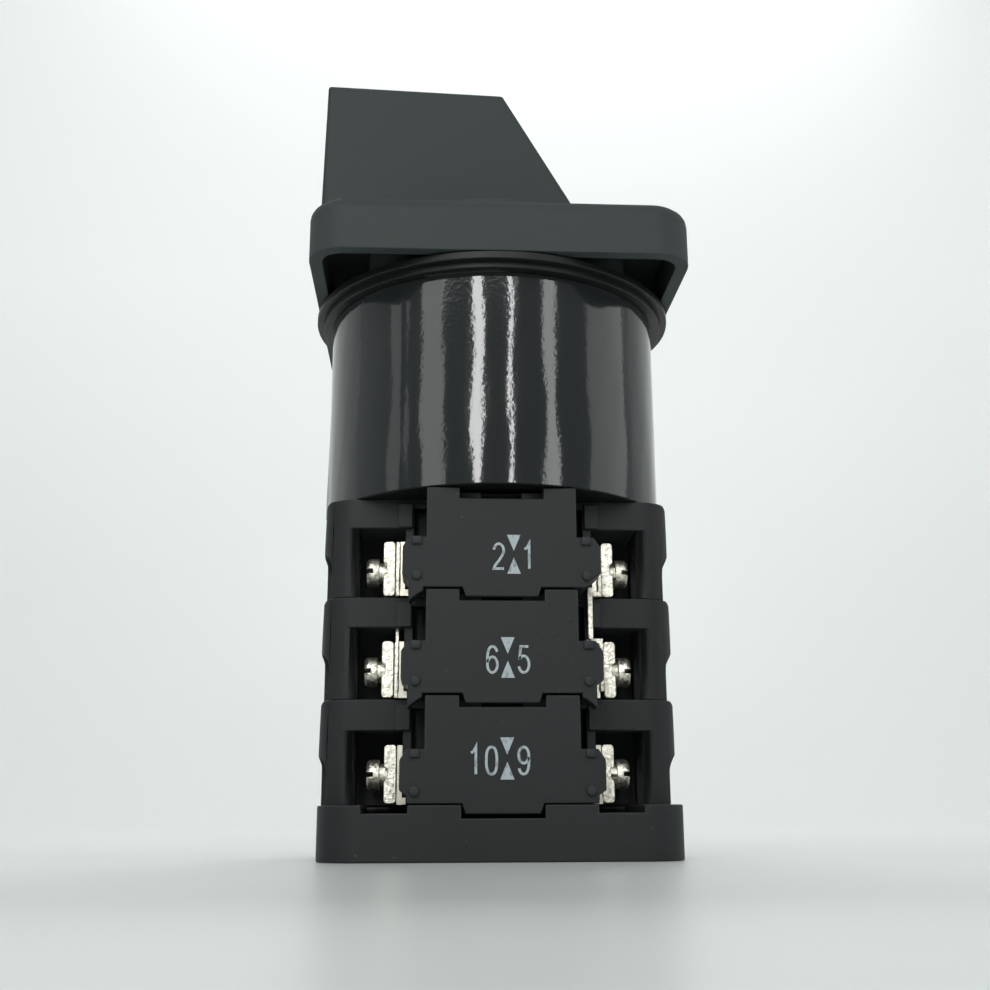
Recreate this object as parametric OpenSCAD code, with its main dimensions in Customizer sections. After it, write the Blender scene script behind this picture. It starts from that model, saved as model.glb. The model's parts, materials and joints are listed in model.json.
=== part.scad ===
// Rotary cam switch for panel mounting: three contact stages in a stack, an
// indexing barrel above them, a square bezel and a wedge-shaped knob.
// Z runs along the shaft, from the rear cover up to the knob. The numbered
// panels face -Y and +Y, and the terminals open to the left and right of them.

/* [Rear cover] */
// Width and depth of the rear cover
cover_w = 42.2; // [41.8:0.1:44]
// Height of the rear cover
cover_h = 6.15; // [5.6:0.05:9]
// Corner radius of the rear cover in plan
cover_r = 5; // [3:0.5:7]

/* [Switch stages] */
// Width of a stage over its band
stage_w = 43.3; // [42.8:0.1:45]
// Depth of a stage over its two numbered panels
stage_d = 41.4; // [40.8:0.1:43]
// Height of one stage, which is also the pitch of the stack
stage_h = 12.3; // [12:0.1:14]
// Corner radius of a stage in plan
stage_r = 4; // [2:0.5:4.4]
// How far the lower body stands back from the band
band_step = 0.28; // [0.1:0.02:0.6]
// How far the corner posts stand back from the numbered panel
panel_step = 6.8; // [6:0.1:7.4]
// Width of the numbered panel above its wings
panel_w = 17.8; // [17:0.1:18.6]
// Thickness of the side walls outside the terminal pockets
side_wall = 4.45; // [3.9:0.05:4.8]
// Width of a terminal pocket
pocket_w = 5.7; // [5.5:0.1:6.2]
// Height of a terminal pocket below its ledge
pocket_h = 8.6; // [8.2:0.1:9.4]

/* [Terminals] */
// Distance of the screws behind the front of the posts
screw_back = 3.4; // [3.2:0.1:3.9]
// Height of the screws above the bottom of their stage
screw_z = 3.6; // [3.3:0.1:4]
// Radius of the screw heads
head_r = 1.8; // [1.6:0.05:1.95]
// Radius of the screw shanks
shank_r = 1.3; // [1:0.05:1.35]
// Height of a saddle clamp
clamp_h = 6.8; // [6:0.1:7]
// Thickness of a clamp over its two lobes
clamp_t = 1.45; // [1.2:0.05:1.55]
// Thickness of the terminal plates
plate_t = 0.6; // [0.4:0.05:0.7]
// Thickness of the jumper links
link_t = 0.5; // [0.3:0.05:0.55]

/* [Cams and contacts] */
// Mean radius of a cam
cam_r = 7.2; // [7.1:0.05:7.3]
// Rise of a cam for each radian of turn
cam_lead = 2; // [1.6:0.1:2.1]
// Thickness of a cam's disc
cam_t = 3; // [2:0.1:4]
// Width across the flats of the square shaft
shaft_w = 6; // [5:0.1:6.1]
// Width of a contact plunger
plunger_w = 5.2; // [4.4:0.1:5.4]
// Thickness of the contact bridges and fixed strips
strip_t = 0.8; // [0.5:0.05:0.9]

/* [Indexing barrel] */
// Radius of the barrel under its label
barrel_r = 22; // [21.6:0.1:22.6]
// Height of the barrel from the top stage to the top of its flange
barrel_h = 28.95; // [27.5:0.05:34]
// Thickness of the barrel's wall
barrel_wall = 2; // [1.6:0.1:2.2]
// Thickness of the label sleeve
label_t = 0.25; // [0.15:0.05:0.4]
// Radius of the flange behind the panel
flange_r = 24.45; // [24:0.05:25.5]
// Thickness of the flange
flange_t = 1; // [0.8:0.1:1.6]
// Radius of the index wheel over its teeth
wheel_r = 9.6; // [9.4:0.1:9.8]

/* [Bezel] */
// Width of the square bezel
bezel_w = 48; // [47:0.5:54]
// Height of the bezel
bezel_h = 7.5; // [7:0.1:9]
// Corner radius of the bezel in plan
bezel_r = 4.6; // [3.6:0.1:6]
// Thickness of the bezel's skirt wall
bezel_wall = 1.7; // [1.4:0.1:2.4]
// Radius round the bezel's front edge
bezel_edge_r = 2.2; // [1.2:0.1:2.6]

/* [Knob] */
// Height of the knob above the bezel
knob_h = 24.7; // [20:0.1:30]
// Distance of the knob's tail from the shaft at its foot
tail_x = 24.05; // [22:0.05:24.4]
// Distance of the sloping nose from the shaft at its foot
nose_x = 15.6; // [14:0.1:19]
// Where the flat top ends and the slope starts
crest_x = 1.1; // [0.5:0.1:3]
// Half width of the knob at its tail
tail_half = 8.2; // [7.6:0.1:9]
// Half width of the knob at its nose
nose_half = 6.15; // [6:0.05:7]
// Radius of the round skirt under the knob
skirt_r = 20.5; // [19.4:0.1:22]

/* [Panel fixing] */
// Spacing of the four fixing screws, both ways
fixing_pitch = 26; // [24.6:0.2:26.4]
// Core radius of the four threaded fixing holes
fixing_core_r = 1.65; // [1.2:0.05:1.7]

/* [Hidden] */
// Smoothness of round forms
$fn = 64;
// Overrun of a cut past the face that it breaks
cut = 1;
// Number of stages
stages = 3;
// Angle between two switching positions
step_angle = 45;

// Clearances: sliding parts, running fits, and faces that only pass each other
slide_gap = 0.15;
bearing_gap = 0.06;
face_gap = 0.1;
pass_gap = 0.3;

// Heights of the stack
stack_top = cover_h + stages * stage_h;
barrel_top = stack_top + barrel_h;
bezel_gap = 0.2;
bezel_z = barrel_top + bezel_gap;
bezel_top = bezel_z + bezel_h;
knob_z = bezel_top + pass_gap;
function stage_z(i) = cover_h + (stages - i) * stage_h;

// Places across a stage
post_x = stage_w / 2 - side_wall;
plate_x = post_x - pocket_w;
panel_y = stage_d / 2;
post_y = panel_y - panel_step;
screw_y = post_y - screw_back;
pocket_room = 0.5;
pocket_back = screw_y - clamp_h / 2 - pocket_room;
post_edge_r = 0.9;
post_set_back = 0.12;
band_edge_r = 0.7;
band_draft = 0.2;
band_slope = 0.8;
band_z_share = 0.46;
band_z = band_z_share * stage_h;

// Panel: its joint line, tongue, notch, wings and lips
joint_gap = 0.12;
tongue_w = 9.2;
tongue_h = 1;
tongue_t = 1;
tongue_taper = 0.35;
tongue_gap = 0.45;
notch_gap = 0.37;
notch_h = tongue_h + tongue_gap;
notch_t = 3;
cover_notch_gap = 0.12;
tab_w = 2.6;
tab_h = 1;
tab_t = 0.8;
lip_h = 1.65;
lip_t = 3.2;
lip_r = 5.15;
lip_run = 3.85;
wing_share = 0.5;
wing_h = wing_share * stage_h;
wing_draw = 0.6;
wing_over = 0.2;
lip_out = plate_x - wing_draw;
wing_foot_h = 1;
bump_r = 0.6;
bump_t = 0.35;
bump_set_in = 1.5;
bump_x = plate_x - bump_set_in;
bump_low_z = 1.5;
pad_h = 1;
wall_t = 1.4;
relief_depth = 0.9;
relief_in = 0.75;
relief_out = 1.3;

// Ledge over a pocket and the small rib at its inner end
rib_in = 0.9;
rib_w = 1.8;
rib_t = 0.7;
rib_drop = 0.6;
slot_w = 1.5;
slot_depth = 2.5;
slot_top = 1.1;
driver_r = 2.2;

// Jumper links, saddle clamps and screw heads
link_x = plate_x + plate_t;
link_bar_in = 0.92;
link_bar_x = plate_x - link_bar_in;
link_bar_w = 0.62;
link_bar_t = 1.5;
link_bar_low = 6.95;
link_bar_high = 1;
link_foot_h = 0.65;
link_foot_gap = 0.1;
link_foot_drop = 0.3;
link_corner_in = 1.55;
link_corner_low = 0.55;
link_corner_high = 1.75;
link_lug_h = 5.4;
link_lug_depth = 2.6;
link_neck_half = 2;
toe_h = 0.9;
toe_w = 0.45;
toe_t = 0.55;
clamp_recess = 0.4;
clamp_lobe_share = 0.41;
clamp_edge_r = 0.45;
clamp_gap = 0.1;
clamp_d = 6.4;
head_t = 1.55;
head_edge_r = 0.5;
head_edge_steps = 4;
head_slot = 0.5;
head_gap = 0.6;
screw_end = 1.8;
screw_end_room = 0.2;

// Contact chamber behind the panel
button_r = 1.2;
button_t = 0.4;
button_x = 5.2;
contact_z = 1.8;
contact_h = 4.4;
strip_clear = 0.6;
strip_y = screw_y + shank_r + strip_clear;
strip_tip_clear = 0.8;
strip_tip_x = plunger_w / 2 + strip_tip_clear;
bridge_half = 7;
chamber_clear = 0.6;
chamber_room = 1;
chamber_x = bridge_half + chamber_clear;
chamber_h = contact_z + contact_h + chamber_room;
chamber_wall = 0.7;
travel = cam_lead * step_angle * PI / 180;
touch_gap = 0.05;
contact_gap = travel + touch_gap;
bridge_y = strip_y + strip_t + 2 * button_t + contact_gap;
bridge_out = bridge_y + strip_t;
plunger_back_t = 0.9;
plunger_end = bridge_out + plunger_back_t;
plunger_z = 0.3;
plunger_h = 6.7;
spring_seat = panel_y - wall_t;
nose_r = 0.8;
nose_gap = 0.12;
spring_bore_r = 1.85;

// Cam form: spiral flanks on both sides, round dwells between them
flank_angle = step_angle + 5;
flank_steps = 20;
cam_max = cam_r + cam_lead * flank_angle * PI / 180;
cam_min = cam_r - cam_lead * flank_angle * PI / 180;
cam_clear = 0.35;
cam_room_r = cam_max + cam_clear;
hub_r = cam_min - slide_gap;
hub_hole_r = hub_r + pass_gap;
cam_z = contact_z + contact_h / 2 - cam_t / 2;
roof_t = 1.5;

// Shaft
shaft_fit = 0.05;
foot_r = 2.9;
foot_depth = 4;
journal_r = 4.6;
collar_r = 6.5;
collar_t = 2;
shaft_in_knob = 15.5;

// Tie bolts through the solid middle of each side
bolt_out = 3;
bolt_x = plate_x + bolt_out;
bolt_r = 1.7;
bolt_clear = 0.2;
bolt_hole_r = bolt_r + bolt_clear;
bolt_head_r = 3;
bolt_head_h = 2.6;
bolt_slot_w = 0.8;
bolt_sink = 0.6;
bolt_recess = bolt_head_h + bolt_sink;
insert_r = 2.6;
insert_h = 8;
insert_sink = 1;
insert_room = 2;
bolt_boss_r = 3.3;

// Inside of the barrel
room_r = barrel_r - barrel_wall;
base_t = 2.2;
base_top = stack_top + base_t;
base_r = room_r - slide_gap;
step_t = 0.8;
step_in = 0.95;
step_r = flange_r - step_in;
barrel_roof_t = 2.5;
roof_bottom = barrel_top - barrel_roof_t;
washer_t = 1.5;
washer_over = 0.5;
washer_z = roof_bottom - washer_t;
label_clear = 0.02;
stop_t = 2;
stop_z = base_top + pass_gap;
stop_hub_over = 1;
stop_lug_r = 9.8;
stop_lug_w = 3;
stop_post_r = 1.1;
stop_ring_r = 8.9;
wheel_t = 5;
slider_h = 6;
slider_w = 9;
rail_floor = 3.2;
slider_z = stop_z + stop_t + rail_floor;
wheel_z = slider_z + (slider_h - wheel_t) / 2;
wheel_hub_over = 1;
notch_r = 2.4;
notch_depth = 0.8;
slider_nose_r = 2;
slider_start = wheel_r + nose_gap;
slider_len = 6;
slider_end = slider_start + slider_len;
slider_travel = 1.2;
slider_web = 1;
rail_clear = 0.9;
rail_in = 0.6;
rail_start = wheel_r + rail_clear;
rail_end = base_r - rail_in;
rail_wall = 1.6;
index_spring_seat = room_r - face_gap;
fixing_boss_r = 2.9;
fixing_depth = 11;
fixing_boss_end = 1.5;

// Neck, posts and legend plate of the front
neck_r = 8;
neck_h = 6.6;
bezel_floor = 2.3;
spacer_r = 3.8;
fixing_clear_r = 2.2;
legend_border = 1.5;
legend_w = bezel_w - 2 * legend_border;
legend_t = 0.6;
legend_r = bezel_r - legend_border;
legend_hole_clear = 0.6;
legend_hole_r = neck_r + legend_hole_clear;

// Knob walls and socket
skirt_h = 1.2;
knob_wall = 2.2;
socket_boss_r = 6;
tail_lean = 0.65;
tail_foot = 0.3;
knob_corner_r = 1.2;
nose_wall_share = 1.2;
crest_wall_share = 0.5;
clip_t = 0.4;
clip_w = 4;
clip_foot = 1;
clip_end = 4;
clip_room = 1;

// Shared forms

// Rectangle about the origin with round corners
module round_rect(w, d, r) {
    square([w - 2 * r, d], center = true);
    square([w, d - 2 * r], center = true);
    for (x = [-1, 1], y = [-1, 1])
        translate([x * (w / 2 - r), y * (d / 2 - r)]) circle(r);
}

// Box between two corners
module box(low, high) {
    translate(low) cube(high - low);
}

// The same form on the left and the right
module both_x() {
    for (m = [0, 1]) mirror([m, 0, 0]) children();
}

// The same form at the front and the back
module both_y() {
    for (m = [0, 1]) mirror([0, m, 0]) children();
}

// A form drawn for the back, turned to the front where side is "front"
module on_side(side) {
    mirror([0, side == "front" ? 1 : 0, 0]) children();
}

// Rod along X from x0 to x1
module rod_x(r, x0, x1) {
    translate([x0, 0, 0]) rotate([0, 90, 0]) cylinder(r = r, h = x1 - x0);
}

// Rod along Y from y0 to y1
module rod_y(r, y0, y1) {
    translate([0, y0, 0]) rotate([-90, 0, 0]) cylinder(r = r, h = y1 - y0);
}

// Compression spring along Y, from y0 to y1, as one unbroken wire
coil_sides = 6;
coil_segments = 12;
function coil_point(k, s, r, wire_r, y0, y1, turns) =
    let (
        t = k / coil_segments,
        a = 360 * t,
        u = 360 * s / coil_sides,
        rr = r + wire_r * cos(u),
        rise = (y1 - y0 - 2 * wire_r) / turns
    )
    [rr * cos(a), y0 + wire_r + rise * t + wire_r * sin(u), rr * sin(a)];

module coil_y(r, wire_r, y0, y1, turns) {
    last = coil_segments * turns;
    points = [for (k = [0:last], s = [0:coil_sides - 1]) coil_point(k, s, r, wire_r, y0, y1, turns)];
    wrap = [
        for (k = [0:last - 1], s = [0:coil_sides - 1])
        let (n = (s + 1) % coil_sides, a = k * coil_sides, b = a + coil_sides)
        [a + s, a + n, b + n, b + s]
    ];
    start = [[for (s = [coil_sides - 1:-1:0]) s]];
    end = [[for (s = [0:coil_sides - 1]) last * coil_sides + s]];
    polyhedron(points, concat(wrap, start, end));
}

// Rear cover

module cover_relief() {
    // shallow trough under each terminal pocket, open at the front or the back
    both_x() both_y()
        box([plate_x - relief_in, pocket_back, cover_h - relief_depth],
            [post_x - relief_out, cover_w / 2 + cut, cover_h + cut]);
}

module tongue_notch(top, gap) {
    half = tongue_w / 2 + gap;
    both_y() box([-half, panel_y - notch_t, top - notch_h], [half, cover_w, top + cut]);
}

module rear_cover() {
    color([0.19, 0.2, 0.21])
    difference() {
        linear_extrude(cover_h) round_rect(cover_w, cover_w, cover_r);
        cover_relief();
        tongue_notch(cover_h, cover_notch_gap);
        translate([0, 0, cover_h - foot_depth]) cylinder(r = foot_r + bearing_gap, h = foot_depth + cut);
        both_x() translate([bolt_x, 0, 0]) {
            translate([0, 0, -cut]) cylinder(r = bolt_hole_r, h = cover_h + 2 * cut);
            translate([0, 0, -cut]) cylinder(r = bolt_head_r + slide_gap, h = bolt_recess + cut);
        }
    }
}

module tie_bolts() {
    recess_floor = bolt_recess;
    color([0.72, 0.71, 0.66])
    both_x() translate([bolt_x, 0, 0])
        difference() {
            union() {
                translate([0, 0, recess_floor - bolt_head_h]) cylinder(r = bolt_head_r, h = bolt_head_h);
                translate([0, 0, recess_floor]) cylinder(r = bolt_r, h = base_top + insert_h - recess_floor);
            }
            box([-bolt_head_r - cut, -bolt_slot_w / 2, -cut],
                [bolt_head_r + cut, bolt_slot_w / 2, recess_floor - bolt_head_h / 2]);
        }
}

module threaded_inserts() {
    color([0.75, 0.62, 0.35])
    both_x() translate([bolt_x, 0, base_top + insert_sink])
        difference() {
            cylinder(r = insert_r, h = insert_h);
            translate([0, 0, -cut]) cylinder(r = bolt_r + bearing_gap, h = insert_h + 2 * cut);
        }
}

// Stage housing

// Body of a stage: a drafted band over a narrower foot, with round shoulders and corners
module stage_block() {
    half = stage_w / 2;
    shoulder = half - band_draft - band_edge_r;
    intersection() {
        rotate([90, 0, 0]) linear_extrude(2 * post_y, center = true) both_x() {
            polygon([
                [0, 0],
                [half - band_step, 0],
                [half - band_step, band_z - band_slope],
                [half, band_z],
                [half - band_draft, stage_h - band_edge_r],
                [shoulder, stage_h],
                [0, stage_h]
            ]);
            translate([shoulder, stage_h - band_edge_r]) circle(band_edge_r);
        }
        linear_extrude(stage_h) round_rect(stage_w, 2 * post_y, stage_r);
    }
}

// Outline drawn in X and Z, as a plate that ends flush with the back panel
module panel_plate(thickness) {
    rotate([90, 0, 0]) translate([0, 0, -panel_y]) linear_extrude(thickness) children();
}

// Numbered panel with its wings and tongue, at the back
module stage_panel() {
    half = panel_w / 2;
    inner = post_y - cut;
    box([-half, inner, joint_gap], [half, panel_y, stage_h - joint_gap]);
    // wings beside the lower half, drawn in at their top and foot
    panel_plate(panel_y - inner) both_x()
        polygon([
            [0, joint_gap],
            [plate_x - wing_draw, joint_gap],
            [plate_x - wing_draw, wing_foot_h],
            [plate_x + wing_over, wing_foot_h + wing_draw],
            [plate_x + wing_over, wing_h - 2 * wing_draw],
            [plate_x - wing_draw, wing_h],
            [0, wing_h]
        ]);
    // tongue into the notch of the piece below
    panel_plate(tongue_t) both_x()
        polygon([
            [0, 2 * joint_gap],
            [tongue_w / 2, 2 * joint_gap],
            [tongue_w / 2, 0],
            [tongue_w / 2 - tongue_taper, -tongue_h],
            [0, -tongue_h]
        ]);
    // small bosses on the wings
    both_x() translate([bump_x, 0, 0]) {
        translate([0, 0, bump_low_z]) rod_y(bump_r, panel_y - cut, panel_y + bump_t);
        box([-bump_r, panel_y - cut, wing_h - pad_h], [bump_r, panel_y + bump_t, wing_h]);
    }
}

// Lip that closes the joint beside the panel of the stage below, on the right
module stage_lip() {
    start = panel_w / 2 + pass_gap;
    panel_plate(lip_t)
        difference() {
            translate([start, -lip_h]) square([lip_out - start, lip_h + 2 * joint_gap]);
            translate([lip_out - lip_run, joint_gap - lip_r]) circle(lip_r);
        }
}

// Everything that the inside of a stage leaves open, for the right half at the back
module stage_quarter_cuts() {
    // terminal pocket
    box([plate_x, pocket_back, -cut], [post_x, post_y + cut, pocket_h]);
    // post below the ledge: set back a little, with a round edge towards the pocket
    box([post_x - cut, post_y - post_set_back, -cut], [stage_w / 2 + cut, post_y + cut, pocket_h]);
    translate([post_x, post_y - post_set_back, -cut]) linear_extrude(pocket_h + cut)
        difference() {
            translate([-cut, -post_edge_r]) square(post_edge_r + cut);
            translate([post_edge_r, -post_edge_r]) circle(post_edge_r);
        }
    // slot beside the panel, above the wing
    box([panel_w / 2, post_y - slot_depth, wing_h], [panel_w / 2 + slot_w, post_y + cut, stage_h - slot_top]);
    // screwdriver slot through the side wall
    translate([0, screw_y, screw_z]) rod_x(driver_r, post_x - cut, stage_w / 2 + cut);
    box([post_x - cut, screw_y - driver_r, -cut], [stage_w / 2 + cut, screw_y + driver_r, screw_z]);
    // seat of the fixed contact's strip
    box([chamber_x - cut, strip_y - slide_gap, -cut],
        [plate_x + cut, strip_y + strip_t + slide_gap, contact_z + contact_h + slide_gap]);
    // room for the end of the terminal screw
    translate([0, screw_y, screw_z])
        rod_x(shank_r + slide_gap, plate_x - screw_end - screw_end_room, plate_x + cut);
}

module stage_half_cuts() {
    // contact chamber
    box([-chamber_x, strip_y - slide_gap, -cut], [chamber_x, spring_seat - chamber_wall, chamber_h]);
    // guide of the plunger, out to the spring's seat
    box([-plunger_w / 2 - slide_gap, 0, -cut],
        [plunger_w / 2 + slide_gap, spring_seat, plunger_z + plunger_h + slide_gap]);
}

// Two tabs at the ends of the notch, which the tongue above passes in front of
module panel_tabs() {
    half = tongue_w / 2 + notch_gap;
    face = panel_y - tongue_t - slide_gap;
    both_x() both_y()
        box([half - tab_w, face - tab_t, stage_h - notch_h - tab_h],
            [half + tab_t, face, stage_h - notch_h + tab_h]);
}

// The right link passes stage 1's wing, and the left link drops through stage 2's ledge
module stage_housing(i) {
    right_link = i == 1;
    left_link = i == 2;
    color([0.2, 0.22, 0.23])
    translate([0, 0, stage_z(i)]) {
        difference() {
            union() {
                stage_block();
                both_y() stage_panel();
                // ribs at the inner ends of the ledges
                both_x() both_y() translate([plate_x - rib_in, 0, 0])
                    box([0, post_y - cut, pocket_h], [rib_w, post_y + rib_t, stage_h - rib_drop]);
                if (i < stages) {
                    both_x() stage_lip();
                    mirror([1, 0, 0]) mirror([0, 1, 0]) stage_lip();
                    if (!right_link) mirror([0, 1, 0]) stage_lip();
                }
            }
            both_x() both_y() stage_quarter_cuts();
            both_y() stage_half_cuts();
            tongue_notch(stage_h, notch_gap);
            translate([0, 0, -cut]) cylinder(r = cam_room_r, h = stage_h - roof_t + cut);
            translate([0, 0, -cut]) cylinder(r = hub_hole_r, h = stage_h + 2 * cut);
            both_x() translate([bolt_x, 0, -cut]) cylinder(r = bolt_hole_r, h = stage_h + 2 * cut);
            // corner of the front right wing, cut off to let the link's bar through
            if (right_link)
                mirror([0, 1, 0]) translate([0, cut, 0]) panel_plate(panel_y - post_y + cut)
                    polygon([
                        [plate_x - link_corner_in, -lip_h],
                        [plate_x + cut, -lip_h],
                        [plate_x + cut, link_corner_high],
                        [plate_x, link_corner_high],
                        [plate_x - link_corner_in, link_corner_low]
                    ]);
            // slot through the left ledge for the flat link
            if (left_link)
                box([-link_x - link_t - slide_gap, -screw_y - link_neck_half - slide_gap, pocket_h - cut],
                    [-link_x + slide_gap, -screw_y + link_neck_half + slide_gap, stage_h + cut]);
        }
        panel_tabs();
    }
}

// Terminals

// A link lies under both front clamps of stages 1 and 2
function linked(i, side) = side == "front" && i < stages;
function clamp_x(i, side) = link_x + (linked(i, side) ? link_t : 0) + clamp_gap;

// Fixed contact: terminal plate in the pocket, strip into the chamber, silver button
module fixed_contact() {
    box([plate_x, pocket_back + slide_gap, joint_gap], [plate_x + plate_t, post_y, clamp_h + joint_gap]);
    box([strip_tip_x, strip_y, contact_z], [plate_x + plate_t / 2, strip_y + strip_t, contact_z + contact_h]);
    translate([button_x, 0, contact_z + contact_h / 2])
        rod_y(button_r, strip_y + strip_t / 2, strip_y + strip_t + button_t);
}

// Toe of a terminal plate, bent over the edge of the wing's foot
module plate_toe() {
    box([plate_x, post_y - cut, joint_gap], [plate_x + plate_t, post_y + toe_t, toe_h]);
    box([plate_x - toe_w, post_y + bearing_gap, joint_gap], [plate_x + plate_t, post_y + toe_t, toe_h]);
}

// The link's foot stands where the toe of stage 1's front right plate would be
module fixed_contacts(i) {
    color([0.78, 0.74, 0.66])
    translate([0, 0, stage_z(i)])
    for (x = [-1, 1], y = [-1, 1])
        mirror([x < 0 ? 1 : 0, 0, 0]) mirror([0, y < 0 ? 1 : 0, 0])
        difference() {
            union() {
                fixed_contact();
                if (i > 1 || x < 0 || y > 0) plate_toe();
            }
            translate([0, screw_y, screw_z])
                rod_x(shank_r + bearing_gap, plate_x - cut, plate_x + plate_t + cut);
        }
}

// Pressed saddle clamp: flat on the plate, with two round lobes outside and a recess between them
module saddle_clamp() {
    lobe_h = clamp_h * clamp_lobe_share;
    difference() {
        rotate([90, 0, 0]) linear_extrude(clamp_d, center = true) {
            for (z = [lobe_h / 2, clamp_h - lobe_h / 2])
                translate([clamp_t / 2, z]) round_rect(clamp_t, lobe_h, clamp_edge_r);
            translate([0, lobe_h / 2]) square([clamp_t - clamp_recess, clamp_h - lobe_h]);
        }
        translate([0, 0, clamp_h / 2]) rod_x(shank_r + slide_gap, -cut, clamp_t + cut);
    }
}

module saddle_clamps(i) {
    color([0.8, 0.78, 0.7])
    translate([0, 0, stage_z(i) + screw_z - clamp_h / 2])
    for (side = ["front", "back"]) on_side(side) both_x()
        translate([clamp_x(i, side), screw_y, 0]) saddle_clamp();
}

// Slotted screw along X with a round-edged head, its thread end through the plate
module terminal_screw(head_x) {
    edge = [
        for (k = [0:head_edge_steps])
        let (a = 90 * k / head_edge_steps)
        [head_r - head_edge_r * (1 - cos(a)), head_t - head_edge_r * (1 - sin(a))]
    ];
    difference() {
        union() {
            rod_x(shank_r, plate_x - screw_end, head_x + cut / 2);
            translate([head_x, 0, 0]) rotate([0, 90, 0]) rotate_extrude()
                polygon(concat([[0, 0], [head_r, 0]], edge, [[0, head_t]]));
        }
        box([head_x + head_t / 2, -head_r - cut, -head_slot / 2],
            [head_x + head_t + cut, head_r + cut, head_slot / 2]);
    }
}

module terminal_screws(i) {
    color([0.82, 0.8, 0.72])
    translate([0, 0, stage_z(i) + screw_z])
    for (side = ["front", "back"]) on_side(side) both_x()
        translate([0, screw_y, 0]) terminal_screw(clamp_x(i, side) + clamp_t + head_gap);
}

// Right link: a lug under the front right clamp of two stages, joined by a bar in front of the ledge
module jumper_link_right() {
    foot_back = post_y + link_foot_gap;
    bar_back = post_y + rib_t + slide_gap;
    bar_front = bar_back + link_bar_t;
    end_r = link_bar_w / 2;
    low = stage_z(2) + link_bar_low;
    high = stage_z(1) + link_bar_high;
    color([0.84, 0.82, 0.74])
    mirror([0, 1, 0])
    difference() {
        union() {
            // bar with round ends
            box([link_bar_x, bar_back, low + end_r], [link_bar_x + link_bar_w, bar_front, high - end_r]);
            for (z = [low + end_r, high - end_r])
                translate([link_bar_x + end_r, 0, z]) rod_y(end_r, bar_back, bar_front);
            for (i = [1, 2]) {
                foot = stage_z(i) + (i == 1 ? joint_gap : link_bar_low - link_foot_drop);
                foot_top = foot + link_foot_h;
                lug_low = stage_z(i) + screw_z - link_lug_h / 2;
                // foot behind the bar, out to the lug under the clamp
                box([link_bar_x, foot_back, foot], [link_bar_x + link_bar_w, bar_back + link_t, foot_top]);
                box([link_bar_x, foot_back, foot], [link_x + link_t, foot_back + link_t, foot_top]);
                box([link_x, screw_y - link_lug_depth, min(foot, lug_low)],
                    [link_x + link_t, foot_back + link_t, max(foot_top, lug_low + link_lug_h)]);
            }
        }
        for (i = [1, 2])
            translate([0, screw_y, stage_z(i) + screw_z])
                rod_x(shank_r + slide_gap, link_x - cut, link_x + link_t + cut);
    }
}

// Left link: one flat plate that drops through a slot in the ledge
module jumper_link_left() {
    color([0.84, 0.82, 0.74])
    mirror([1, 0, 0]) mirror([0, 1, 0])
    difference() {
        union() {
            for (i = [1, 2])
                box([link_x, screw_y - link_lug_depth, stage_z(i) + joint_gap],
                    [link_x + link_t, post_y + link_t, stage_z(i) + clamp_h]);
            box([link_x, screw_y - link_neck_half, stage_z(2) + clamp_h - cut],
                [link_x + link_t, screw_y + link_neck_half, stage_z(1) + cut]);
        }
        for (i = [1, 2])
            translate([0, screw_y, stage_z(i) + screw_z])
                rod_x(shank_r + slide_gap, link_x - cut, link_x + link_t + cut);
    }
}

// Cams, plungers and moving contacts

function spiral(a) = cam_r + cam_lead * (90 - abs(a)) * PI / 180;
function cam_radius(a) =
    abs(a) < 90 - flank_angle ? cam_max : abs(a) > 90 + flank_angle ? cam_min : spiral(a);

module cam_outline() {
    flank = [for (k = [0:flank_steps]) 90 - flank_angle + 2 * flank_angle * k / flank_steps];
    angles = concat(flank, [for (k = [flank_steps:-1:0]) -flank[k]]);
    polygon([for (a = angles) cam_radius(a) * [cos(a), sin(a)]]);
    // round dwells, high on the right and low on the left
    intersection() {
        circle(cam_max);
        polygon([[0, 0], for (a = [flank_angle - 90, 90 - flank_angle]) 2 * cam_max * [cos(a), sin(a)]]);
    }
    circle(cam_min);
}

module cam(i) {
    color([0.75, 0.72, 0.62])
    translate([0, 0, stage_z(i)])
    difference() {
        union() {
            translate([0, 0, cam_z]) linear_extrude(cam_t) cam_outline();
            translate([0, 0, face_gap]) cylinder(r = hub_r, h = stage_h - face_gap);
        }
        square_bore(0, stage_h);
    }
}

// Contact plunger at the back: a rounded nose on the cam, a window for the bridge, a bore for its spring
module plunger(side, i) {
    half = plunger_w / 2;
    foot = cam_r + nose_gap;
    mid_z = contact_z + contact_h / 2;
    color([0.86, 0.84, 0.76])
    translate([0, 0, stage_z(i)]) on_side(side)
    difference() {
        union() {
            translate([0, 0, plunger_z]) linear_extrude(plunger_h) {
                translate([0, foot + nose_r]) circle(nose_r);
                polygon([
                    [-nose_r, foot + nose_r],
                    [nose_r, foot + nose_r],
                    [half, foot + nose_r + half],
                    [half, plunger_end],
                    [-half, plunger_end],
                    [-half, foot + nose_r + half]
                ]);
            }
        }
        box([-half - cut, bridge_y - bearing_gap, contact_z - slide_gap],
            [half + cut, bridge_out + bearing_gap, contact_z + contact_h + slide_gap]);
        translate([0, 0, mid_z]) rod_y(spring_bore_r, bridge_y, plunger_end + cut);
    }
}

module contact_bridge(side, i) {
    color([0.8, 0.6, 0.42])
    translate([0, 0, stage_z(i)]) on_side(side) {
        box([-bridge_half, bridge_y, contact_z], [bridge_half, bridge_out, contact_z + contact_h]);
        both_x() translate([button_x, 0, contact_z + contact_h / 2])
            rod_y(button_r, bridge_y - button_t, bridge_y + strip_t / 2);
    }
}

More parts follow.
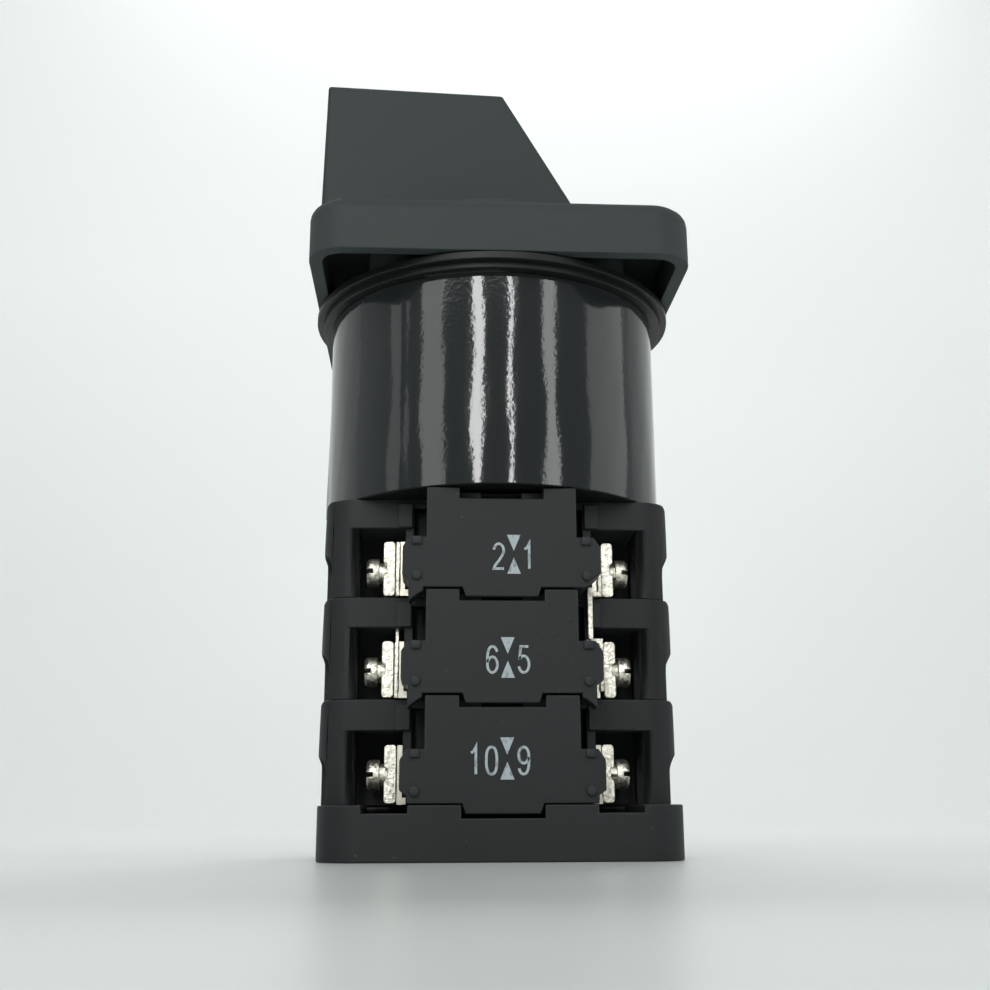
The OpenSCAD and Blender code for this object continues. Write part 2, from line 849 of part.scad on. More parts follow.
contact_spring_r = 1.35;
contact_wire_r = 0.18;
module contact_spring(side, i) {
    color([0.7, 0.7, 0.7])
    translate([0, 0, stage_z(i) + contact_z + contact_h / 2]) on_side(side)
        coil_y(contact_spring_r, contact_wire_r, bridge_out + face_gap / 2, spring_seat - face_gap / 2, 4);
}

// Shaft: square through the cams, round in its bearings, with a collar under the barrel's roof
module shaft() {
    color([0.8, 0.8, 0.78]) {
        translate([0, 0, cover_h - foot_depth + face_gap]) cylinder(r = foot_r, h = foot_depth + cut);
        box([-shaft_w / 2, -shaft_w / 2, cover_h + face_gap / 2],
            [shaft_w / 2, shaft_w / 2, knob_z + shaft_in_knob]);
        translate([0, 0, washer_z - collar_t]) {
            cylinder(r = collar_r, h = collar_t);
            cylinder(r = journal_r, h = barrel_top + neck_h - washer_z + collar_t);
        }
    }
}

// Indexing mechanism

module index_base() {
    color([0.3, 0.31, 0.33])
    difference() {
        union() {
            translate([0, 0, stack_top]) cylinder(r = base_r, h = base_t);
            // rails that carry and guide the two sliders
            intersection() {
                both_y() difference() {
                    box([-slider_w / 2 - slide_gap - rail_wall, rail_start, base_top - cut],
                        [slider_w / 2 + slide_gap + rail_wall, rail_end, slider_z + slider_h]);
                    box([-slider_w / 2 - slide_gap, rail_start - cut, slider_z - slide_gap],
                        [slider_w / 2 + slide_gap, rail_end + cut, slider_z + slider_h + cut]);
                }
                translate([0, 0, stack_top]) cylinder(r = base_r, h = barrel_h);
            }
            // posts that stop the lug at the last position each way
            for (s = [-1, 1]) rotate(s * stop_angle)
                translate([stop_ring_r, 0, base_top - cut])
                    cylinder(r = stop_post_r, h = cut + pass_gap + stop_t);
        }
        translate([0, 0, stack_top - cut]) cylinder(r = hub_hole_r, h = base_t + 2 * cut);
        both_x() translate([bolt_x, 0, stack_top - cut]) cylinder(r = bolt_hole_r, h = base_t + 2 * cut);
    }
}

// Angle of a stop post from the lug at rest
stop_angle = step_angle + asin((stop_lug_w / 2 + stop_post_r + slide_gap) / stop_ring_r);

module square_bore(z, h) {
    translate([0, 0, z - cut]) linear_extrude(h + 2 * cut) square(shaft_w + 2 * shaft_fit, center = true);
}

module stop_plate() {
    color([0.7, 0.7, 0.68])
    difference() {
        union() {
            translate([0, 0, stop_z]) cylinder(r = hub_r + stop_hub_over, h = stop_t);
            box([0, -stop_lug_w / 2, stop_z], [stop_lug_r, stop_lug_w / 2, stop_z + stop_t]);
        }
        square_bore(stop_z, stop_t);
    }
}

// Index wheel with eight notches, one at every switching angle
module index_wheel() {
    count = 360 / step_angle;
    low = stop_z + stop_t + face_gap;
    high = wheel_z + wheel_t + wheel_hub_over;
    color([0.85, 0.83, 0.75])
    difference() {
        union() {
            translate([0, 0, wheel_z]) cylinder(r = wheel_r, h = wheel_t);
            translate([0, 0, low]) cylinder(r = hub_r, h = high - low);
        }
        for (k = [0:count - 1]) rotate(k * step_angle)
            translate([wheel_r + notch_r - notch_depth, 0, wheel_z - cut])
                cylinder(r = notch_r, h = wheel_t + 2 * cut);
        square_bore(low, high - low);
    }
}

// Spring-loaded slider with a rounded nose that drops into the notches
module index_slider(side) {
    half = slider_w / 2;
    color([0.86, 0.84, 0.76])
    translate([0, 0, slider_z]) on_side(side)
    difference() {
        linear_extrude(slider_h) {
            translate([0, slider_start + slider_nose_r]) circle(slider_nose_r);
            polygon([
                [-slider_nose_r, slider_start + slider_nose_r],
                [slider_nose_r, slider_start + slider_nose_r],
                [half, slider_start + half],
                [half, slider_end],
                [-half, slider_end],
                [-half, slider_start + half]
            ]);
        }
        translate([0, 0, slider_h / 2])
            rod_y(spring_bore_r, slider_start + slider_nose_r + slider_web, slider_end + cut);
    }
}

index_spring_r = 1.5;
index_wire_r = 0.25;
module index_spring(side) {
    color([0.7, 0.7, 0.7])
    translate([0, 0, slider_z + slider_h / 2]) on_side(side)
        coil_y(index_spring_r, index_wire_r, slider_start + slider_nose_r + slider_web + face_gap,
            index_spring_seat, 6);
}

// Barrel that holds the indexing mechanism, with its flange and bearing neck
module index_housing() {
    color([0.15, 0.16, 0.17])
    difference() {
        union() {
            difference() {
                union() {
                    translate([0, 0, stack_top]) cylinder(r = barrel_r, h = barrel_h);
                    translate([0, 0, barrel_top - flange_t]) cylinder(r = flange_r, h = flange_t);
                    translate([0, 0, barrel_top - flange_t - step_t])
                        cylinder(r = step_r, h = step_t + cut / 2);
                    translate([0, 0, barrel_top - cut]) cylinder(r = neck_r, h = neck_h + cut);
                }
                translate([0, 0, stack_top - cut]) cylinder(r = room_r, h = roof_bottom - stack_top + cut);
            }
            // bosses for the tie bolts' inserts and the fixing screws
            intersection() {
                union() {
                    both_x() translate([bolt_x, 0, base_top + face_gap])
                        cylinder(r = bolt_boss_r, h = roof_bottom - base_top);
                    both_x() both_y() translate([fixing_pitch / 2, fixing_pitch / 2, barrel_top])
                        mirror([0, 0, 1]) cylinder(r = fixing_boss_r, h = fixing_depth + fixing_boss_end);
                }
                translate([0, 0, stack_top]) cylinder(r = barrel_r - cut / 2, h = barrel_h);
            }
        }
        both_x() translate([bolt_x, 0, base_top - cut]) {
            cylinder(r = bolt_hole_r, h = insert_sink + insert_h + insert_room + cut);
            cylinder(r = insert_r + face_gap / 2, h = insert_sink + insert_h + cut);
        }
        both_x() both_y() translate([fixing_pitch / 2, fixing_pitch / 2, barrel_top - fixing_depth])
            cylinder(r = fixing_core_r, h = fixing_depth + cut);
        translate([0, 0, roof_bottom - cut]) cylinder(r = journal_r + bearing_gap, h = barrel_h);
    }
}

module thrust_washer() {
    color([0.8, 0.78, 0.7])
    translate([0, 0, washer_z + face_gap])
    difference() {
        cylinder(r = collar_r + washer_over, h = washer_t - 2 * face_gap);
        translate([0, 0, -cut]) cylinder(r = journal_r + bearing_gap, h = washer_t + 2 * cut);
    }
}

module label_sleeve() {
    color([0.08, 0.08, 0.09])
    translate([0, 0, stack_top + face_gap])
    difference() {
        cylinder(r = barrel_r + label_t, h = barrel_h - flange_t - step_t - 2 * face_gap);
        translate([0, 0, -cut]) cylinder(r = barrel_r + label_clear, h = barrel_h + 2 * cut);
    }
}

// Front

edge_steps = 5;
module bezel_shell() {
    hull() {
        translate([0, 0, bezel_z]) linear_extrude(bezel_h - bezel_edge_r)
            round_rect(bezel_w, bezel_w, bezel_r, $fn = 32);
        for (k = [0:edge_steps]) {
            a = 90 * k / edge_steps;
            inset = bezel_edge_r * (1 - cos(a));
            translate([0, 0, bezel_top - bezel_edge_r + bezel_edge_r * sin(a) - edge_sheet])
                linear_extrude(edge_sheet)
                round_rect(bezel_w - 2 * inset, bezel_w - 2 * inset, bezel_r - inset / 2, $fn = 32);
        }
    }
}
edge_sheet = 0.01;

module bezel() {
    inner_w = bezel_w - 2 * bezel_wall;
    color([0.24, 0.26, 0.26])
    difference() {
        union() {
            difference() {
                bezel_shell();
                translate([0, 0, bezel_z - cut])
                    linear_extrude(bezel_h - bezel_floor + cut)
                    round_rect(inner_w, inner_w, bezel_r - bezel_wall);
            }
            // spacer posts round the fixing screws, seated on the flange
            both_x() both_y() translate([fixing_pitch / 2, fixing_pitch / 2, barrel_top])
                cylinder(r = spacer_r, h = bezel_h + bezel_gap - bezel_floor + legend_t);
        }
        both_x() both_y() translate([fixing_pitch / 2, fixing_pitch / 2, barrel_top - cut])
            cylinder(r = fixing_clear_r, h = bezel_h + 2 * cut);
        translate([0, 0, bezel_z]) cylinder(r = neck_r + slide_gap, h = bezel_h + cut);
        translate([0, 0, bezel_top - legend_t]) linear_extrude(legend_t + cut)
            round_rect(legend_w, legend_w, legend_r);
    }
}

module legend_plate() {
    w = legend_w - 2 * face_gap;
    color([0.78, 0.79, 0.8])
    translate([0, 0, bezel_top - legend_t])
    difference() {
        linear_extrude(legend_t) round_rect(w, w, legend_r - face_gap);
        translate([0, 0, -cut]) cylinder(r = legend_hole_r, h = legend_t + 2 * cut);
    }
}

// Side view of the knob's wedge, drawn in by a wall thickness where it is hollow
module knob_profile(wall) {
    lean = tail_lean;
    polygon([
        [-tail_x + wall, wall > 0 ? -cut : tail_foot],
        [-tail_x + lean + wall, knob_h - wall],
        [crest_x - wall * crest_wall_share, knob_h - wall],
        [nose_x - wall * nose_wall_share, wall > 0 ? -cut : 0]
    ]);
}

// Plan of the knob's wedge, wider at the tail
module knob_plan(wall) {
    corner = knob_corner_r;
    tail = tail_half - wall;
    nose = nose_half - wall;
    translate([-tail_x + wall + corner, 0]) {
        square([2 * corner, 2 * (tail - corner)], center = true);
        for (y = [-1, 1]) translate([0, y * (tail - corner)]) circle(corner);
    }
    polygon([
        [-tail_x + wall + corner, tail],
        [nose_x + cut, nose],
        [nose_x + cut, -nose],
        [-tail_x + wall + corner, -tail]
    ]);
}

module knob_wedge(wall) {
    intersection() {
        rotate([90, 0, 0]) linear_extrude(3 * tail_half, center = true) knob_profile(wall);
        translate([0, 0, -2 * cut]) linear_extrude(knob_h + 3 * cut) knob_plan(wall);
    }
}

module knob() {
    color([0.27, 0.3, 0.29])
    translate([0, 0, knob_z])
    difference() {
        union() {
            difference() {
                union() {
                    knob_wedge(0);
                    cylinder(r = skirt_r, h = skirt_h);
                }
                knob_wedge(knob_wall);
            }
            // boss with the square socket
            intersection() {
                cylinder(r = socket_boss_r, h = knob_h - knob_wall / 2);
                knob_wedge(knob_wall / 2);
            }
        }
        translate([0, 0, -cut]) linear_extrude(shaft_in_knob + face_gap + cut)
            square(shaft_w + 2 * shaft_fit, center = true);
        // pocket of the retaining clip, on the tail side of the socket
        box([-shaft_w / 2 - shaft_fit - clip_t - face_gap, -clip_w / 2 - face_gap, -cut],
            [-shaft_w / 2, clip_w / 2 + face_gap, shaft_in_knob - clip_end + clip_room]);
    }
}

module knob_clip() {
    color([0.75, 0.75, 0.75])
    translate([0, 0, knob_z])
        box([-shaft_w / 2 - shaft_fit - clip_t, -clip_w / 2, clip_foot],
            [-shaft_w / 2 - shaft_fit, clip_w / 2, shaft_in_knob - clip_end]);
}

rear_cover();
tie_bolts();
threaded_inserts();
for (i = [1:stages]) {
    stage_housing(i);
    fixed_contacts(i);
    saddle_clamps(i);
    terminal_screws(i);
    cam(i);
    for (side = ["front", "back"]) {
        plunger(side, i);
        contact_bridge(side, i);
        contact_spring(side, i);
    }
}
jumper_link_right();
jumper_link_left();
shaft();
index_base();
stop_plate();
index_wheel();
for (side = ["front", "back"]) {
    index_slider(side);
    index_spring(side);
}
index_housing();
thrust_washer();
label_sleeve();
bezel();
legend_plate();
knob();
knob_clip();
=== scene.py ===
import json
import math

import bmesh
import bpy
from mathutils import Matrix, Vector


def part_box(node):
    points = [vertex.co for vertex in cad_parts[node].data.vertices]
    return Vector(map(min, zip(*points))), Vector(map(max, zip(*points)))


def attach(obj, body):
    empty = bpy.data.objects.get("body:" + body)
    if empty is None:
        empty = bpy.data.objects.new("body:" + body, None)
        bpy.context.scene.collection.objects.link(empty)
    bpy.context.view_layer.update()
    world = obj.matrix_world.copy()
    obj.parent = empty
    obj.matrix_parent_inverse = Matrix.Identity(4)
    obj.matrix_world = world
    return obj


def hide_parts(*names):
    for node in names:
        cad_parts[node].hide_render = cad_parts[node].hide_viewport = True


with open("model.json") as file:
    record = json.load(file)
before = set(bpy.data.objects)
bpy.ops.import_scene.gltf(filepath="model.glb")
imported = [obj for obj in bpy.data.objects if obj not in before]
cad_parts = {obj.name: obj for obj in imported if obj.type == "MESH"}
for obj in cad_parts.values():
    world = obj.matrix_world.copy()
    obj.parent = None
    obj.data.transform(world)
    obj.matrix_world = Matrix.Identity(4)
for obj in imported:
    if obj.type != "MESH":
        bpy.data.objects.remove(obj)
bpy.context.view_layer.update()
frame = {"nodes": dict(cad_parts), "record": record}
MM = 0.001

# Camera: it stands low in front of the numbered panels and looks slightly up
# the stack, so the bezel's underside shows. It was fitted to the photograph.
camera_place = Vector((-8.536, -162.075, 4.929)) * MM
camera_pitch, camera_yaw, camera_roll = (math.radians(a) for a in (14.665, 3.132, -0.233))
camera_focal_px, photo_px, sensor_mm = 1227.06, 990, 36.0
look = Vector((math.sin(camera_yaw) * math.cos(camera_pitch),
               math.cos(camera_yaw) * math.cos(camera_pitch), math.sin(camera_pitch)))
level = Vector((math.cos(camera_yaw), -math.sin(camera_yaw), 0))
upright = level.cross(look)
right = level * math.cos(camera_roll) + upright * math.sin(camera_roll)
up = upright * math.cos(camera_roll) - level * math.sin(camera_roll)
turn = Matrix((right, up, -look)).transposed()
bpy.ops.object.camera_add(location=camera_place, rotation=turn.to_euler())
camera = bpy.context.object
camera.data.sensor_width = sensor_mm
camera.data.lens = camera_focal_px / photo_px * sensor_mm
camera.data.clip_start = 0.01
bpy.context.scene.camera = camera
bpy.context.scene.view_settings.view_transform = "Standard"

# Floor and backdrop: one pale satin sheet that runs flat under the switch and sweeps
# up behind it. A painted glow, seen by the camera and in reflections, brightens it
# with height; it keeps real shadows.
sheet_front, sweep_start, sweep_radius, sweep_top, sheet_half = -1.2, 0.25, 0.35, 1.6, 1.8
sweep_steps, sheet_drop = 16, 0.05 * MM
paper = bpy.data.materials.new("pale_paper")
paper.use_nodes = True
nodes, links = paper.node_tree.nodes, paper.node_tree.links
sheet = nodes["Principled BSDF"]
sheet.inputs["Base Color"].default_value = (0.62, 0.65, 0.635, 1)
sheet.inputs["Roughness"].default_value = 0.36
sheet.inputs["Specular IOR Level"].default_value = 0.5
place = nodes.new("ShaderNodeTexCoord")
apart = nodes.new("ShaderNodeSeparateXYZ")
rise = nodes.new("ShaderNodeMapRange")
rise.inputs["From Max"].default_value = 0.35
rise.inputs["To Min"].default_value = 0.02
rise.inputs["To Max"].default_value = 0.42
path = nodes.new("ShaderNodeLightPath")
seen = nodes.new("ShaderNodeMath")
seen.operation = "MAXIMUM"
glow = nodes.new("ShaderNodeMath")
glow.operation = "MULTIPLY"
# Painted glow: an emission seen only by the camera and in reflections, stronger with height, that stands
# in for light falling on the backdrop.
painted_glow = nodes.new("ShaderNodeEmission")
painted_glow.inputs["Color"].default_value = (0.96, 1.0, 0.98, 1)
both = nodes.new("ShaderNodeAddShader")
links.new(place.outputs["Object"], apart.inputs[0])
links.new(apart.outputs["Z"], rise.inputs["Value"])
links.new(path.outputs["Is Camera Ray"], seen.inputs[0])
links.new(path.outputs["Is Glossy Ray"], seen.inputs[1])
links.new(seen.outputs[0], glow.inputs[0])
links.new(rise.outputs[0], glow.inputs[1])
links.new(glow.outputs[0], painted_glow.inputs["Strength"])
links.new(sheet.outputs[0], both.inputs[0])
links.new(painted_glow.outputs[0], both.inputs[1])
links.new(both.outputs[0], nodes["Material Output"].inputs["Surface"])
profile = [(sheet_front, 0.0), (sweep_start, 0.0)]
for k in range(1, sweep_steps + 1):
    a = math.pi / 2 * k / sweep_steps
    profile.append((sweep_start + sweep_radius * math.sin(a), sweep_radius * (1 - math.cos(a))))
profile.append((sweep_start + sweep_radius, sweep_top))
floor_mesh = bpy.data.meshes.new("floor")
floor_mesh.from_pydata([(s * sheet_half, y, z - sheet_drop) for y, z in profile for s in (-1, 1)], [],
                       [(2 * k, 2 * k + 1, 2 * k + 3, 2 * k + 2) for k in range(len(profile) - 1)])
floor = bpy.data.objects.new("floor", floor_mesh)
bpy.context.scene.collection.objects.link(floor)
for face in floor_mesh.polygons:
    face.use_smooth = True
floor_mesh.materials.append(paper)


# Studio light: a soft box in front and above, a stronger one high behind that
# throws the shadow forwards, two weak side boxes, and upright strips, by azimuth,
# spread and radiance, whose reflections make the streaks down the glossy label.
lamp_aim = Vector((0, 0, 0.05))


def soft_box(name, place, width, height, power, diffuse=True, gloss=True):
    lamp = bpy.data.lights.new(name, "AREA")
    lamp.shape = "RECTANGLE"
    lamp.size, lamp.size_y, lamp.energy = width, height, power
    holder = bpy.data.objects.new(name, lamp)
    bpy.context.scene.collection.objects.link(holder)
    holder.location = place
    holder.rotation_euler = (lamp_aim - Vector(place)).to_track_quat("-Z", "Y").to_euler()
    holder.visible_camera = False
    holder.visible_diffuse = diffuse
    holder.visible_glossy = gloss


soft_box("front_box", (-0.15, -0.75, 0.75), 0.9, 0.6, 3.4)
soft_box("rear_box", (0.05, 0.6, 0.7), 0.5, 0.3, 8.5, gloss=False)
soft_box("left_box", (-0.8, -0.1, 0.35), 0.5, 0.6, 1.0, gloss=False)
soft_box("right_box", (0.8, -0.1, 0.35), 0.5, 0.6, 1.0)
strip_distance, strip_middle, strip_height = 0.55, 0.235, 0.27
strip_table = ((-69, 14, 0.8), (-43.5, 16, 2.4), (-12.5, 7, 15), (9.4, 2.2, 18), (36.5, 8.5, 4.5))
for azimuth, spread, radiance in strip_table:
    a = math.radians(azimuth)
    width = strip_distance * math.radians(spread)
    place = (strip_distance * math.sin(a), -strip_distance * math.cos(a), strip_middle)
    power = radiance * math.pi * width * strip_height
    soft_box(f"strip_{azimuth}", place, width, strip_height, power, diffuse=False)
world = bpy.data.worlds.new("studio")
bpy.context.scene.world = world
world.use_nodes = True
nodes, links = world.node_tree.nodes, world.node_tree.links
air = nodes["Background"]
air.inputs["Color"].default_value = (0.95, 0.99, 1.0, 1)
direction = nodes.new("ShaderNodeTexCoord")
apart = nodes.new("ShaderNodeSeparateXYZ")
backwards = nodes.new("ShaderNodeMapRange")
backwards.inputs["From Min"].default_value = -0.5
backwards.inputs["To Min"].default_value = 0.05
backwards.inputs["To Max"].default_value = 0.55
upwards = nodes.new("ShaderNodeMapRange")
upwards.inputs["From Min"].default_value = 0.05
upwards.inputs["From Max"].default_value = 0.75
upwards.inputs["To Max"].default_value = 0.34
sky = nodes.new("ShaderNodeMath")
sky.operation = "ADD"
path = nodes.new("ShaderNodeLightPath")
pale = nodes.new("ShaderNodeMapRange")
pale.inputs["To Max"].default_value = 0.82
links.new(direction.outputs["Generated"], apart.inputs[0])
links.new(apart.outputs["Y"], backwards.inputs["Value"])
links.new(apart.outputs["Z"], upwards.inputs["Value"])
links.new(backwards.outputs[0], sky.inputs[0])
links.new(upwards.outputs[0], sky.inputs[1])
links.new(path.outputs["Is Camera Ray"], pale.inputs["Value"])
links.new(sky.outputs[0], pale.inputs["To Min"])
links.new(pale.outputs[0], air.inputs["Strength"])


# Stage housings and rear cover: black glass-filled plastic, moulded with a fine
# satin grain, slightly paler along its worn edges, with a little dust on it.
def moulded_skin():
    group = bpy.data.node_groups.new("moulded_skin", "ShaderNodeTree")
    for name, kind, value in (("Colour", "NodeSocketColor", (0.03, 0.03, 0.03, 1)),
                              ("Edge Colour", "NodeSocketColor", (0.08, 0.08, 0.08, 1)),
                              ("Roughness", "NodeSocketFloat", 0.4), ("Grain", "NodeSocketFloat", 2600.0)):
        group.interface.new_socket(name, in_out="INPUT", socket_type=kind).default_value = value
    for name, kind in (("Colour", "NodeSocketColor"), ("Roughness", "NodeSocketFloat"),
                       ("Height", "NodeSocketFloat")):
        group.interface.new_socket(name, in_out="OUTPUT", socket_type=kind)
    nodes, links = group.nodes, group.links
    given, made = nodes.new("NodeGroupInput"), nodes.new("NodeGroupOutput")
    place = nodes.new("ShaderNodeTexCoord")
    grain = nodes.new("ShaderNodeTexNoise")
    grain.inputs["Detail"].default_value = 3
    flow = nodes.new("ShaderNodeTexNoise")
    flow.inputs["Scale"].default_value = 55
    flow.inputs["Detail"].default_value = 4
    dust = nodes.new("ShaderNodeTexNoise")
    dust.inputs["Scale"].default_value = 2100
    dust.inputs["Detail"].default_value = 1
    specks = nodes.new("ShaderNodeMapRange")
    specks.inputs["From Min"].default_value = 0.76
    specks.inputs["From Max"].default_value = 0.82
    specks.inputs["To Max"].default_value = 0.16
    edge = nodes.new("ShaderNodeAttribute")
    edge.attribute_name = "edge"
    wear = nodes.new("ShaderNodeMath")
    wear.operation = "MULTIPLY"
    tone = nodes.new("ShaderNodeMapRange")
    tone.inputs["From Min"].default_value = 0.3
    tone.inputs["From Max"].default_value = 0.7
    tone.inputs["To Min"].default_value = 0.85
    tone.inputs["To Max"].default_value = 1.18
    varied = nodes.new("ShaderNodeMix")
    varied.data_type = "RGBA"
    varied.blend_type = "MULTIPLY"
    varied.inputs["Factor"].default_value = 1
    worn = nodes.new("ShaderNodeMix")
    worn.data_type = "RGBA"
    dusty = nodes.new("ShaderNodeMix")
    dusty.data_type = "RGBA"
    dusty.inputs["B"].default_value = (0.3, 0.3, 0.29, 1)
    shine = nodes.new("ShaderNodeMapRange")
    shine.inputs["From Min"].default_value = 0.3
    shine.inputs["From Max"].default_value = 0.7
    shine.inputs["To Min"].default_value = -0.05
    shine.inputs["To Max"].default_value = 0.06
    rough = nodes.new("ShaderNodeMath")
    rough.operation = "ADD"
    for target in (grain, flow, dust):
        links.new(place.outputs["Object"], target.inputs["Vector"])
    links.new(given.outputs["Grain"], grain.inputs["Scale"])
    links.new(flow.outputs["Fac"], tone.inputs["Value"])
    links.new(given.outputs["Colour"], varied.inputs["A"])
    links.new(tone.outputs[0], varied.inputs["B"])
    links.new(edge.outputs["Fac"], wear.inputs[0])
    links.new(flow.outputs["Fac"], wear.inputs[1])
    links.new(wear.outputs[0], worn.inputs["Factor"])
    links.new(varied.outputs["Result"], worn.inputs["A"])
    links.new(given.outputs["Edge Colour"], worn.inputs["B"])
    links.new(dust.outputs["Fac"], specks.inputs["Value"])
    links.new(specks.outputs[0], dusty.inputs["Factor"])
    links.new(worn.outputs["Result"], dusty.inputs["A"])
    links.new(dusty.outputs["Result"], made.inputs["Colour"])
    links.new(flow.outputs["Fac"], shine.inputs["Value"])
    links.new(given.outputs["Roughness"], rough.inputs[0])
    links.new(shine.outputs[0], rough.inputs[1])
    links.new(rough.outputs[0], made.inputs["Roughness"])
    links.new(grain.outputs["Fac"], made.inputs["Height"])
    return group


def moulded(name, colour, edge_colour, roughness, grain, depth, gloss):
    material = bpy.data.materials.new(name)
    material.use_nodes = True
    nodes, links = material.node_tree.nodes, material.node_tree.links
    shader = nodes["Principled BSDF"]
    shader.inputs["Specular IOR Level"].default_value = gloss
    skin = nodes.new("ShaderNodeGroup")
    skin.node_tree = bpy.data.node_groups.get("moulded_skin") or moulded_skin()
    skin.inputs["Colour"].default_value = (*colour, 1)
    skin.inputs["Edge Colour"].default_value = (*edge_colour, 1)
    skin.inputs["Roughness"].default_value = roughness
    skin.inputs["Grain"].default_value = grain
    relief = nodes.new("ShaderNodeBump")
    relief.inputs["Strength"].default_value = 0.6
    relief.inputs["Distance"].default_value = depth
    links.new(skin.outputs["Colour"], shader.inputs["Base Color"])
    links.new(skin.outputs["Roughness"], shader.inputs["Roughness"])
    links.new(skin.outputs["Height"], relief.inputs["Height"])
    links.new(relief.outputs[0], shader.inputs["Normal"])
    return material


def only(piece):
    bpy.ops.object.select_all(action="DESELECT")
    piece.select_set(True)
    bpy.context.view_layer.objects.active = piece


smooth_angle = math.radians(40)


def shade_flat_faces_true(piece):
    """Smooth shading in which each large face keeps its own direction."""
    bpy.ops.object.shade_smooth_by_angle(angle=smooth_angle)
    evened = piece.modifiers.new("evened", "WEIGHTED_NORMAL")
    evened.weight = 100
    evened.keep_sharp = True
    bpy.ops.object.modifier_apply(modifier=evened.name)


same_spot, same_plane, sharp_corner, round_steps = 1e-6, math.radians(0.5), math.radians(28), 3


def eased_copy(node, name, edge_round, above=0, below=1, core=(0, 0)):
    """The node's own form with its outward edges rounded, and marked for wear.

    Edges that start lower than above or end higher than below stay sharp, and so
    do those inside the core, which is given by its half sizes in X and Y.
    """
    piece = bpy.data.objects.new(name, frame["nodes"][node].data.copy())
    bpy.context.scene.collection.objects.link(piece)
    piece.data.materials.clear()
    only(piece)
    bpy.ops.object.mode_set(mode="EDIT")
    bpy.ops.mesh.select_all(action="SELECT")
    bpy.ops.mesh.remove_doubles(threshold=same_spot)
    bpy.ops.mesh.dissolve_limited(angle_limit=same_plane)
    bpy.ops.mesh.select_all(action="DESELECT")
    bpy.ops.mesh.select_mode(type="EDGE")
    form = bmesh.from_edit_mesh(piece.data)
    for e in form.edges:
        heights = [v.co.z for v in e.verts]
        within = min(heights) >= above and max(heights) <= below
        outside = any(abs(v.co.x) > core[0] or abs(v.co.y) > core[1] for v in e.verts)
        sharp = e.is_manifold and e.is_convex and e.calc_face_angle(0) > sharp_corner
        if within and outside and sharp:
            e.select = True
    bmesh.update_edit_mesh(piece.data)
    bpy.ops.mesh.bevel(offset=edge_round, segments=round_steps, clamp_overlap=False)
    bpy.ops.object.mode_set(mode="OBJECT")
    rounded = piece.data.attributes.new("edge", "FLOAT", "FACE")
    rounded.data.foreach_set("value", [float(f.select) for f in piece.data.polygons])
    shade_flat_faces_true(piece)
    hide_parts(node)
    return piece


def fit_out(piece, material, body="switch"):
    piece.data.materials.append(material)
    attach(piece, body)


housing_plastic = moulded("housing_plastic", (0.0215, 0.0242, 0.0252), (0.036, 0.04, 0.042),
                          roughness=0.52, grain=3200, depth=0.00001, gloss=0.24)
housing_round, chamber_reach = 0.16 * MM, (7.8 * MM, 19.4 * MM)
piece = eased_copy("rear_cover", "rear_cover_moulding", housing_round)
fit_out(piece, housing_plastic)
for node in ("stage_housing_1", "stage_housing_2", "stage_housing_3"):
    piece = eased_copy(node, f"{node}_moulding", housing_round, core=chamber_reach)
    fit_out(piece, housing_plastic)

# Terminals: pressed saddle clamps, slotted screws and jumper links, all nickel
# plated steel with a tumbled, finely hammered shine; the screws drive in from the sides.
plated = bpy.data.materials.new("nickel_plate")
plated.use_nodes = True
nodes, links = plated.node_tree.nodes, plated.node_tree.links
shader = nodes["Principled BSDF"]
shader.inputs["Metallic"].default_value = 1
place = nodes.new("ShaderNodeTexCoord")
mottle = nodes.new("ShaderNodeTexNoise")
mottle.inputs["Scale"].default_value = 2300
mottle.inputs["Detail"].default_value = 3
dents = nodes.new("ShaderNodeTexNoise")
dents.inputs["Scale"].default_value = 3400
dents.inputs["Detail"].default_value = 2
tint = nodes.new("ShaderNodeValToRGB")
tint.color_ramp.elements[0].position, tint.color_ramp.elements[0].color = 0.32, (0.46, 0.44, 0.35, 1)
tint.color_ramp.elements[1].position, tint.color_ramp.elements[1].color = 0.6, (0.86, 0.85, 0.76, 1)
dull = nodes.new("ShaderNodeMapRange")
dull.inputs["To Min"].default_value = 0.3
dull.inputs["To Max"].default_value = 0.5
relief = nodes.new("ShaderNodeBump")
relief.inputs["Strength"].default_value = 1
relief.inputs["Distance"].default_value = 0.00009
links.new(place.outputs["Object"], mottle.inputs["Vector"])
links.new(place.outputs["Object"], dents.inputs["Vector"])
links.new(mottle.outputs["Fac"], tint.inputs[0])
links.new(tint.outputs[0], shader.inputs["Base Color"])
links.new(mottle.outputs["Fac"], dull.inputs["Value"])
links.new(dull.outputs[0], shader.inputs["Roughness"])
links.new(dents.outputs["Fac"], relief.inputs["Height"])
links.new(relief.outputs[0], shader.inputs["Normal"])
clamp_round, screw_round, link_round = 0.12 * MM, 0.1 * MM, 0.1 * MM
for i in (1, 2, 3):
    fit_out(eased_copy(f"saddle_clamps_{i}", f"clamps_{i}", clamp_round), plated)
    fit_out(eased_copy(f"terminal_screws_{i}", f"screws_{i}", screw_round), plated)
for side in ("right", "left"):
    fit_out(eased_copy(f"jumper_link_{side}", f"link_{side}", link_round), plated)

# Barrel: a smooth black plastic shell that holds the index wheel and its sliders.
# Its stepped flange bears on the back of the panel that the switch is fixed in.
barrel_plastic = moulded("barrel_plastic", (0.01, 0.011, 0.012), (0.018, 0.019, 0.02),
                         roughness=0.42, grain=3200, depth=0.000006, gloss=0.25)
barrel_round = 0.15 * MM
fit_out(eased_copy("index_housing", "barrel", barrel_round), barrel_plastic)

